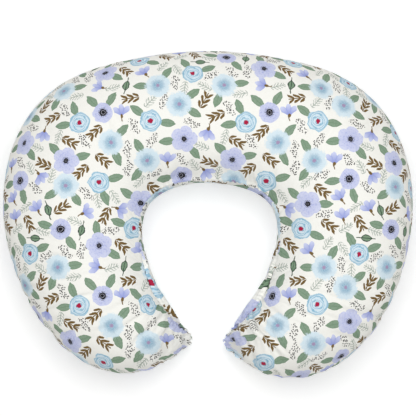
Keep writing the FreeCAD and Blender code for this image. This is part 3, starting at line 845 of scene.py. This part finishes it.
# Pale blue watercolour flowers, soft at the edge and deeper towards the middle.
m = Motif(shader, hand, BLUE_FLOWERS)
rays = shader.wave(m.angle() * 9.0 + wander * 22.0)
lobes = abs(calc("COSINE", m.angle() * 3.5))
wash = fill(9.6 + blot * 5.5 - m.r + rays * 1.0 + lobes * 1.4, 2.4)
pool = fill(3.8 + rays * 2.8 - m.r, 5.0)
blue = mix(pool, "#D5E9F4", "#84B0CB")
blue = lay(blue, rays * 0.35, "#E6F1F8")
blue = lay(blue, fill(1.7 - m.r, 1.0), "#A48FB5")
ink = lay(ink, wash, blue, 0.95)


def anemone(below, m, outline, eye, ring, ring_strength):
    """A lavender flower with a black eye, which has a paler ring round its middle."""
    rays = shader.wave(m.angle() * 14.0 + blot * 14.0)
    depth = fill(8.5 - m.r, 10.0)
    petal = mix(depth, "#DADEF6", "#A9B2E4")
    petal = lay(petal, rays, "#BEC6EF", 0.3)
    petal = lay(petal, fill(0.9 - (outline - m.r), 1.0), "#AEB7E6", 0.45)
    wash = fill(blot - 0.52, 0.25)
    petal = lay(petal, wash, "#E6E9FA", 0.45)
    stamens = fill(rays - 0.72, 0.2) * band(m.r - eye - 1.0, 0.7)
    below = lay(below, fill(outline - m.r, 0.5), petal, 0.95)
    below = lay(below, stamens, "#33334A", 0.7)
    below = lay(below, fill(eye + (blot - 0.5) * 1.0 - m.r), "#101016")
    return lay(below, band(m.r - ring, 0.25, 0.2), "#A6A6B4", ring_strength)


m = Motif(shader, hand, PETALLED_ANEMONES)
lobes = power(abs(calc("COSINE", m.angle() * 2.5)), 0.6)
ink = anemone(ink, m, 12.2 + lobes * 3.8, 2.9, 1.2, 0.35)
m = Motif(shader, hand, ROUND_ANEMONES)
ink = anemone(ink, m, 12.2 + (wander - 0.5) * 3.0, 4.2, 2.4, 0.8)

# Pale blue roses: overlapping round petals drawn as uneven rings, crimson in the middle.
m = Motif(shader, hand, ROSES)
swirl = m.r + calc("SINE", m.angle() * 2.0 + m.r * 0.9) * 0.75 + blot * 1.6
stroke = shader.wave(swirl * 2.15)
rose = mix(stroke * stroke, "#DAEBF5", "#9CC7DE")
rose = lay(rose, fill(stroke - 0.93, 0.08), "#7FB0CB", 0.5)
outline = 12.6 + calc("SINE", m.angle() * 5.0) * 0.5 + (wander - 0.5) * 3.0
rose = lay(rose, fill(1.0 - (outline - m.r), 1.0), "#93BFD6", 0.6)
ink = lay(ink, fill(outline - m.r), rose)
ink = lay(ink, fill(1.2 + blot * 2.8 - m.r), "#B01C42")

weave = plain_weave(shader, flat, 1.4)
ink = lay(ink, grain * 0.012, "#FFFFFF")
shader.bump(weave, 0.05 * MM)
printed_cotton = shader.finish(ink, 0.88, Sheen_Weight=0.02, Specular_IOR_Level=0.15)

for name, grid, flat in (
    ("cover_top_panel", cover_upper, upper_flat),
    ("cover_bottom_panel", cover_under, under_flat),
):
    grid, flat = turned_in(grid, flat)
    grid[..., 2] = np.maximum(grid[..., 2], 0.0)
    panel = panel_object(name + "_cloth", grid, flat)
    panel.modifiers.new("smooth cloth", "SUBSURF").render_levels = 1
    panel.data.materials.append(printed_cotton)
    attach(panel, "pillow")
    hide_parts(name)

# --- cover_seam_overlock ---
# The cover's raw edges, trimmed and bound together with a zigzag of polyester thread, lying flat
# inside the cover beside its seam. There is none along the zip.


def beside_seam(grid, distances, at_end=False, lift=0.0):
    """Lines over a panel at these distances from one of its seams, lifted off it by lift."""
    lifted = grid + normals_of(grid) * lift
    if at_end:
        grid, lifted = grid[:, ::-1], lifted[:, ::-1]
    pairs = zip(grid, lifted)
    return np.array([points_at(distances, run_of(line), raised) for line, raised in pairs])


def thread_rings(points, radius, sides=6):
    """Rings of points round a line, and the faces between them."""
    points = np.asarray(points)
    way = np.gradient(points, axis=0)
    way /= np.maximum(np.linalg.norm(way, axis=1, keepdims=True), 1e-12)
    across = np.cross(way, np.array([0.31, 0.22, 0.92]))
    across /= np.maximum(np.linalg.norm(across, axis=1, keepdims=True), 1e-9)
    up = np.cross(way, across)
    turn = np.arange(sides) / sides * 2 * math.pi
    rings = points[:, None] + radius * (
        np.cos(turn)[None, :, None] * across[:, None] + np.sin(turn)[None, :, None] * up[:, None]
    )
    last = (len(points) - 1) * sides
    faces = ring_faces(len(points), sides)
    faces += [tuple(range(sides))[::-1], tuple(range(last, last + sides))]
    return rings.reshape(-1, 3), faces


def joined(name, parts):
    """One mesh from several lists of points and faces."""
    points, faces, start = [], [], 0
    for part_points, part_faces in parts:
        points.append(np.asarray(part_points))
        faces += [tuple(start + i for i in face) for face in part_faces]
        start += len(part_points)
    return mesh_object(name, np.concatenate(points), faces)


def zigzag(grid, pitch):
    """A line that crosses a strip from edge to edge and back every pitch."""
    near, far = grid[:, 0], grid[:, -1]
    run = run_of(near)
    at = np.arange(0, run[-1], pitch / 2)
    on_near = (np.arange(len(at)) % 2 == 0)[:, None]
    return np.where(on_near, points_at(at, run, near), points_at(at, run, far))


def sewing_thread(name, low, high):
    """Two-ply polyester thread: a slight sheen, and a twist that shows as fine slanting lines."""
    shader = Shader(name)
    x, y, z = shader.parts(object_place(shader))
    twist = shader.wave((x + y + z) * 9.0)
    shader.bump(twist, 0.05 * MM)
    return shader.finish(shader.mix(twist, low, high), 0.55, Sheen_Weight=0.2)


def overlock(name, inset, stands_for, thread, leave_out):
    """Bound edges inside both seams, left out within an angle of the middle of the back."""
    _, _, under, _ = Tube(COVER_COLUMNS, inset).panels(20, 20)
    parts = []
    allowance = np.linspace(0.5, 6.5, 7) * MM
    for at_end in (False, True):
        # The inner seam is the under panel's first edge, the outer seam its last one.
        band_grid = beside_seam(under, allowance, at_end)
        ripple = np.sin(np.arange(len(band_grid)) * 1.1)[:, None] * np.linspace(0, 1, 7)
        ripple = (ripple * 0.12 * MM)[..., None]
        band_grid = band_grid + normals_of(band_grid) * ripple
        sections = [band_grid]
        if at_end and leave_out:
            turn = np.arctan2(band_grid[:, 0, 0], band_grid[:, 0, 1] - ZIP_CENTRE[1])
            away = (np.abs(turn) > leave_out) | (band_grid[:, 0, 1] < 0.1)
            sections = [band_grid[away & (turn < 0)], band_grid[away & (turn > 0)]]
        for section in sections:
            parts.append(sheet(section))
            parts.append(thread_rings(zigzag(section, 2.4 * MM), 0.16 * MM, sides=5))
    bound = joined(name, parts)
    bound.data.materials.append(thread)
    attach(bound, "pillow")
    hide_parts(stands_for)


white_thread = sewing_thread("polyester thread, white", "#DCDCD6", "#F4F4F0")
overlock(
    "cover_seam_overlock_thread", 3.8 * MM, "cover_seam_overlock",
    white_thread, leave_out=math.radians(21),
)

# --- cover_care_label and casing_label ---
# Blank satin ribbon, folded double and caught in the seams beside the hollow; its edges are heat
# cut and a row of stitches runs round it.
satin = Shader("satin ribbon, white")
_, _, z = satin.parts(object_place(satin))
ribs = satin.wave(z * 14.0)
satin.bump(ribs, 0.03 * MM)
ribbon_white = satin.mix(ribs, "#E9E8E3", "#FAFAF7")
woven_ribbon = satin.finish(ribbon_white, 0.42, Anisotropic=0.4)
RIBBON_STEPS = 25


def ribbon_label(name, stands_for, inset, side, width, drop):
    """A folded ribbon that hangs inside from the hollow's seam, beside y = -18 mm."""
    tube = Tube(500, inset)
    _, _, under, _ = tube.panels(8, 24)
    near = np.argmin(np.hypot(under[:, 0, 0] - side * 0.082, under[:, 0, 1] + 0.018))
    run = tube.along - tube.along[near]
    columns = np.linspace(-width / 2, width / 2, RIBBON_STEPS)
    seam = beside_seam(under, np.linspace(2 * MM, drop, RIBBON_STEPS))
    lines = [points_at(columns, run, seam[:, j]) for j in range(RIBBON_STEPS)]
    grid = np.stack(lines, axis=1)
    out = normals_of(grid)
    parts = [sheet(grid + out * layer * MM) for layer in (0.22, -0.22)]
    stitched = grid + out * 0.25 * MM
    for line in (stitched[2, 2:-2], stitched[2:-2, -3], stitched[-3, 2:-2][::-1]):
        parts.append(thread_rings(line, 0.14 * MM))
    label = joined(name, parts)
    label.data.materials.append(woven_ribbon)
    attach(label, "pillow")
    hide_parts(stands_for)


ribbon_label("cover_care_label_ribbon", "cover_care_label", 4.2 * MM, -1, 32 * MM, 45 * MM)
ribbon_label("casing_label_ribbon", "casing_label", 4.8 * MM, 1, 40 * MM, 28 * MM)

# --- casing_seam_overlock and casing_closing_stitches ---
# Inside the casing its edges are bound like the cover's. It was stuffed through a gap in the right
# arm's outer seam, then closed by hand with a row of slanting whip stitches.
overlock(
    "casing_seam_overlock_thread", 6.2 * MM, "casing_seam_overlock",
    white_thread, leave_out=0,
)
tube = Tube(500, 5.3 * MM)
upper, _, under, _ = tube.panels(12, 12)
above, below = beside_seam(upper, [1.6 * MM])[:, 0], beside_seam(under, [1.6 * MM], True)[:, 0]
GAP_LENGTH = 120 * MM
WHIP_STITCHES = 24
first = tube.length - (tube.length / 2 + GAP_LENGTH) / 2
parts = []
for i in range(WHIP_STITCHES):
    ends = []
    for line, shift in ((above, 0.7 * MM), (upper[:, 0], 0), (below, -0.7 * MM)):
        ends.append(points_at([first + i * 5 * MM + shift], tube.along, line)[0])
    parts.append(thread_rings(ends, 0.22 * MM))
stitches = joined("casing_closing_thread", parts)
stitches.data.materials.append(white_thread)
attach(stitches, "pillow")
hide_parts("casing_closing_stitches")

# --- zip_tape_upper, zip_tape_lower, zip_coil_upper and zip_coil_lower ---
# A white nylon coil zip. Each tape is polyester, woven in a herringbone; each coil is one nylon
# line wound into flat turns and sewn along the tape's edge. It faces out and a little down.
ZIP_RADIUS = 0.45239
ZIP_HEIGHT = 0.04784
ZIP_TILT = math.radians(15.267)
COIL_HALF_ANGLE = math.radians(18.364)


def zip_point(angle, up, out):
    """A point beside the zip: its angle along the back, mm up across the tape and mm outwards."""
    radius = ZIP_RADIUS + (out * math.cos(ZIP_TILT) + up * math.sin(ZIP_TILT)) * MM
    z = ZIP_HEIGHT + (up * math.cos(ZIP_TILT) - out * math.sin(ZIP_TILT)) * MM
    x = radius * np.sin(angle)
    y = ZIP_CENTRE[1] + radius * np.cos(angle)
    return np.stack(np.broadcast_arrays(x, y, z), axis=-1)


def beside_zip(panel, at_end, distance, lift, angles):
    """A line over a cover panel at this distance from the slot's edge, at angles along the back."""
    back = panel[:, -1 if at_end else 0, 1] > 0.1
    line = beside_seam(panel[back], [distance], at_end, lift)[:, 0]
    turn = np.arctan2(line[:, 0], line[:, 1] - ZIP_CENTRE[1])
    order = np.argsort(turn)
    return points_at(angles, turn[order], line[order])


shader = Shader("zip tape, herringbone polyester")
x, y, z = shader.parts(object_place(shader))
along = shader.calc("ARCTAN2", x, y + 252.0) * 452.4
stripe = shader.calc("PINGPONG", z, 1.6)
herring = shader.wave((along + stripe * 1.6) * 5.5)
shader.bump(herring, 0.06 * MM)
tape_white = shader.mix(herring, "#DFDFDA", "#F5F5F1")
tape_cloth = shader.finish(tape_white, 0.8, Sheen_Weight=0.15)

shader = Shader("coil, white nylon line")
milky = shader.noise(object_place(shader), 0.6, flat=False)
nylon_white = shader.mix(milky, "#E6E7E4", "#F7F8F6")
nylon = shader.finish(nylon_white, 0.38, Coat_Weight=0.2)

TURN_PITCH = 1.3
# A tape's section in mm: two corners by the coil on each face, then the part under the cover, at
# distances from the slot's edge and lifts off the cloth.
TAPE_BY_COIL = ((3.4, -1.05), (0.8, -1.05), (0.8, -1.65), (3.4, -1.65))
TAPE_UNDER_COVER = (
    (0.5, -1.75), (5.0, -1.75), (10.2, -1.75), (10.4, -1.45), (10.2, -1.15), (5.0, -1.15),
    (0.5, -1.15),
)
turns = int(2 * COIL_HALF_ANGLE * ZIP_RADIUS / MM / TURN_PITCH)
for side, which in ((1, "upper"), (-1, "lower")):
    tape_angle = COIL_HALF_ANGLE + 8 * MM / ZIP_RADIUS
    angles = np.linspace(-tape_angle, tape_angle, 200)
    panel, at_end = (cover_upper, False) if side > 0 else (cover_under, True)
    rows = [zip_point(angles, side * up, out) for up, out in TAPE_BY_COIL]
    rows += [beside_zip(panel, at_end, d * MM, lift * MM, angles) for d, lift in TAPE_UNDER_COVER]
    rings = np.stack(rows, axis=1)
    count, last = len(rows), (len(angles) - 1) * len(rows)
    faces = ring_faces(len(angles), count)
    faces += [tuple(range(count)), tuple(range(last, last + count))]
    if side > 0:
        faces = [f[::-1] for f in faces]
    tape = mesh_object("zip_tape_" + which + "_woven", rings.reshape(-1, 3), faces, soft=False)
    tape.data.materials.append(tape_cloth)
    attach(tape, "pillow")
    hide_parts("zip_tape_" + which)

    wound = np.linspace(0, turns * 2 * math.pi, turns * 14)
    angles = -COIL_HALF_ANGLE + 2 * COIL_HALF_ANGLE * (wound / wound[-1])
    flatter = np.sign(np.sin(wound)) * np.abs(np.sin(wound)) ** 0.7
    line = zip_point(angles, side * (1.9 + 0.78 * np.cos(wound)), 0.55 + 0.85 * flatter)
    coil = joined("zip_coil_" + which + "_turns", [thread_rings(line, 0.32 * MM, sides=5)])
    coil.data.materials.append(nylon)
    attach(coil, "pillow")
    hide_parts("zip_coil_" + which)

# --- zip_stitching_upper and zip_stitching_lower ---
# One row of lockstitches each side of the zip holds the tape to the folded edge of the cover. Each
# stitch lies on the cloth and dips into it at both ends.
STITCH_PITCH = 3.2 * MM
FROM_SLOT_EDGE = 8 * MM - SLOT_HALF
for panel, at_end, which in ((cover_upper, False, "upper"), (cover_under, True, "lower")):
    stitch_count = int(2 * (COIL_HALF_ANGLE * ZIP_RADIUS + 3 * MM) / STITCH_PITCH)
    dips = np.array([-0.25, 0.12, 0.22, 0.25, 0.22, 0.12, -0.25])
    parts = []
    for i in range(stitch_count):
        centre = (i - (stitch_count - 1) / 2) * STITCH_PITCH
        at = (centre + np.linspace(-1.25, 1.25, 7) * MM) / ZIP_RADIUS
        on_cloth = beside_zip(panel, at_end, FROM_SLOT_EDGE, 0.0, at)
        out = beside_zip(panel, at_end, FROM_SLOT_EDGE, 1.0 * MM, at) - on_cloth
        parts.append(thread_rings(on_cloth + out * dips[:, None], 0.22 * MM))
    row = joined("zip_stitching_" + which + "_thread", parts)
    row.data.materials.append(white_thread)
    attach(row, "pillow")
    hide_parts("zip_stitching_" + which)

# --- zip_top_stops, zip_bottom_stop, zip_slider and zip_pull ---
# Injected acetal stops, and a die-cast zinc slider and pull with white stoved enamel, a little
# uneven like all thick enamel.
shader = Shader("stops, white acetal")
shade = shader.noise(object_place(shader), 0.8, flat=False)
acetal = shader.finish(shader.mix(shade, "#E4E4E0", "#F2F2EE"), 0.45)
shader = Shader("enamelled zinc, white gloss")
ripple = shader.noise(object_place(shader), 0.9, flat=False)
shader.bump(ripple, 0.04 * MM)
rough = shader.calc("MULTIPLY_ADD", ripple, 0.12, 0.18)
enamel = shader.finish(shader.mix(ripple, "#EDEDE9", "#F8F8F5"), rough, Coat_Weight=0.5)
for name, finish_of, slot in (
    ("zip_top_stops", acetal, "zip_stop"),
    ("zip_bottom_stop", acetal, "zip_stop"),
    ("zip_slider", enamel, "enamelled_zinc"),
    ("zip_pull", enamel, "enamelled_zinc"),
):
    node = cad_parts[name]
    node.data.materials.clear()
    node.data.materials.append(finish_of)

# --- Floor, light and camera ---
# A plain white floor under a wide soft light from above and behind, and a camera straight above.
floor = mesh_object("floor", [(-3, -3, 0), (3, -3, 0), (3, 3, 0), (-3, 3, 0)], [(0, 1, 2, 3)])
shader = Shader("floor, matt white paint")
speck = shader.noise(object_place(shader), 0.02)
floor_white = shader.mix(speck, "#F6F6F6", "#FAFAFA")
painted = shader.finish(
    floor_white, 0.9, Emission_Color=(1, 1, 1, 1), Emission_Strength=0.22
)
floor.data.materials.append(painted)


def soft_light(name, size, power, place, aim=(0, 0, 0.06)):
    light = bpy.data.lights.new(name, "AREA")
    light.shape, light.size, light.energy = "DISK", size, power
    lamp = bpy.data.objects.new(name, light)
    lamp.location = place
    way = Vector(aim) - Vector(place)
    lamp.rotation_euler = way.to_track_quat("-Z", "Y").to_euler()
    bpy.context.scene.collection.objects.link(lamp)


soft_light("overhead", 1.6, 27, (0.0, 0.30, 1.9))
soft_light("front_fill", 1.2, 2.0, (0.5, -1.4, 1.1))
world = bpy.data.worlds.new("studio")
world.use_nodes = True
world.node_tree.nodes["Background"].inputs["Color"].default_value = srgb("#FAF9F6")
world.node_tree.nodes["Background"].inputs["Strength"].default_value = 0.30
bpy.context.scene.world = world
bpy.context.scene.view_settings.view_transform = "Standard"

CAMERA_HEIGHT = 2.2
WIDEST_HEIGHT = 0.068
SEEN_WIDTH = 0.5154
camera = bpy.data.cameras.new("camera")
camera.sensor_width = 36
camera.lens = camera.sensor_width * (CAMERA_HEIGHT - WIDEST_HEIGHT) / SEEN_WIDTH
camera_object = bpy.data.objects.new("camera", camera)
camera_object.location = (0.0006, 0.0093, CAMERA_HEIGHT)
bpy.context.scene.collection.objects.link(camera_object)
bpy.context.scene.camera = camera_object
